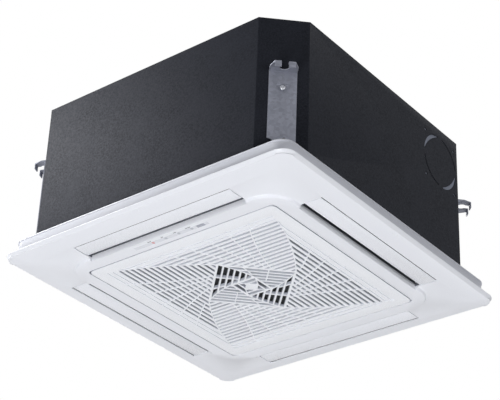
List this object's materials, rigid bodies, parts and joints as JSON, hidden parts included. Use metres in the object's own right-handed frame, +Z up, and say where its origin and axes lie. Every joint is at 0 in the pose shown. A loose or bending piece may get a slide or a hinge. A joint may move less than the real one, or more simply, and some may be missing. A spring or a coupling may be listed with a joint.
{
  "type": "cassette air conditioner",
  "caption": "Four-way ceiling cassette air conditioner: charcoal casing with hanger brackets above a white square panel with hinged intake grille and tilting outlet louvers.",
  "frame": {"origin": "centre of the ceiling opening, on the upper face of the panel's flange (the ceiling plane)", "axes": "+Z up into the ceiling void, -Y towards the side with the indicator strip, +X towards the duct knock-out"},
  "size_m": [0.62, 0.62, 0.3128],
  "materials": {
    "panel_plastic": "satin moulded ABS, pure white",
    "expanded_foam": "moulded bead foam",
    "seal_foam": "soft closed-cell foam tape",
    "motor_steel": "drawn steel can",
    "dark_plastic": "black moulded plastic",
    "filter_net": "woven filter net",
    "indicator_plastic": "gloss white insert",
    "lens": "translucent lens",
    "screw_steel": "zinc-plated steel",
    "casing_paint": "charcoal coated sheet, fine grain",
    "galvanised": "galvanised sheet with a faint spangle",
    "duct_plastic": "black moulded plastic",
    "fin_aluminium": "coated fin pack",
    "copper": "drawn copper tube",
    "brass_fitting": "machined brass",
    "rubber": "moulded rubber",
    "drain_plastic": "moulded white PVC",
    "board": "coated circuit board"
  },
  "bodies": {
    "housing": {"panel_frame": "panel_plastic", "panel_rim": "panel_plastic", "panel_foam": "expanded_foam", "panel_seal": "seal_foam", "louver_motor_1": "motor_steel", "louver_motor_2": "motor_steel", "louver_motor_3": "motor_steel", "louver_motor_4": "motor_steel", "catch_housings": "dark_plastic", "indicator_strip": "indicator_plastic", "receiver_window": "lens", "indicator_lamps": "lens", "panel_bolts": "screw_steel", "casing_wrap": "casing_paint", "top_plate": "casing_paint", "casing_screws": "screw_steel", "foam_liner": "expanded_foam", "drain_pan": "expanded_foam", "bell_mouth": "duct_plastic", "bell_screws": "screw_steel", "coil_fins": "fin_aluminium", "coil_return_bends": "copper", "gas_pipe": "copper", "gas_nut": "brass_fitting", "liquid_pipe": "copper", "liquid_nut": "brass_fitting", "pipe_plate": "casing_paint", "motor_bracket": "galvanised", "motor_cushions": "rubber", "fan_motor": "motor_steel", "drain_pump": "duct_plastic", "pump_strap": "galvanised", "drain_riser": "drain_plastic", "drain_outlet": "drain_plastic", "control_box": "dark_plastic", "control_cover": "galvanised", "control_board": "board", "terminal_block": "dark_plastic", "cable_bush": "rubber", "hanger_bracket_1": "galvanised", "hanger_bracket_2": "galvanised", "hanger_bracket_3": "galvanised", "hanger_bracket_4": "galvanised", "bracket_screws": "screw_steel"},
    "fan": {"fan_shaft": "motor_steel", "fan_wheel": "duct_plastic", "fan_nut": "brass_fitting"},
    "grille": {"intake_grille": "panel_plastic", "filter_frame": "dark_plastic", "filter_mesh": "filter_net"},
    "plunger_1": {"catch_plunger_1": "dark_plastic"},
    "plunger_2": {"catch_plunger_2": "dark_plastic"},
    "pump_rotor": {"pump_rotor": "dark_plastic"},
    "float": {"drain_float": "dark_plastic"},
    "louver_1": {"louver_1": "panel_plastic"},
    "louver_2": {"louver_2": "panel_plastic"},
    "louver_3": {"louver_3": "panel_plastic"},
    "louver_4": {"louver_4": "panel_plastic"}
  },
  "joints": [
    {"name": "fan_spin", "type": "hinge", "parent": "housing", "child": "fan", "pos_m": [0, 0, 0.2], "axis": [0, 0, 1], "continuous": true},
    {"name": "louver_1_tilt", "type": "hinge", "parent": "housing", "child": "louver_1", "pos_m": [0, -0.2555, 0], "axis": [1, 0, 0], "range_deg": [0, 65]},
    {"name": "louver_2_tilt", "type": "hinge", "parent": "housing", "child": "louver_2", "pos_m": [0.2555, 0, 0], "axis": [0, 1, 0], "range_deg": [0, 65]},
    {"name": "louver_3_tilt", "type": "hinge", "parent": "housing", "child": "louver_3", "pos_m": [0, 0.2555, 0], "axis": [-1, 0, 0], "range_deg": [0, 65]},
    {"name": "louver_4_tilt", "type": "hinge", "parent": "housing", "child": "louver_4", "pos_m": [-0.2555, 0, 0], "axis": [0, -1, 0], "range_deg": [0, 65]},
    {"name": "grille_swing", "type": "hinge", "parent": "housing", "child": "grille", "pos_m": [0, 0.198, -0.015], "axis": [1, 0, 0], "range_deg": [0, 88]},
    {"name": "plunger_1_press", "type": "slide", "parent": "housing", "child": "plunger_1", "axis": [0, 0, 1], "range_m": [0, 0.0035], "stiffness_N_per_m": 400, "springref_m": -0.003},
    {"name": "plunger_2_press", "type": "slide", "parent": "housing", "child": "plunger_2", "axis": [0, 0, 1], "range_m": [0, 0.0035], "stiffness_N_per_m": 400, "springref_m": -0.003},
    {"name": "pump_spin", "type": "hinge", "parent": "housing", "child": "pump_rotor", "pos_m": [-0.172, 0.172, 0.09], "axis": [0, 0, 1], "continuous": true},
    {"name": "float_rise", "type": "slide", "parent": "housing", "child": "float", "axis": [0, 0, 1], "range_m": [0, 0.012]}
  ]
}
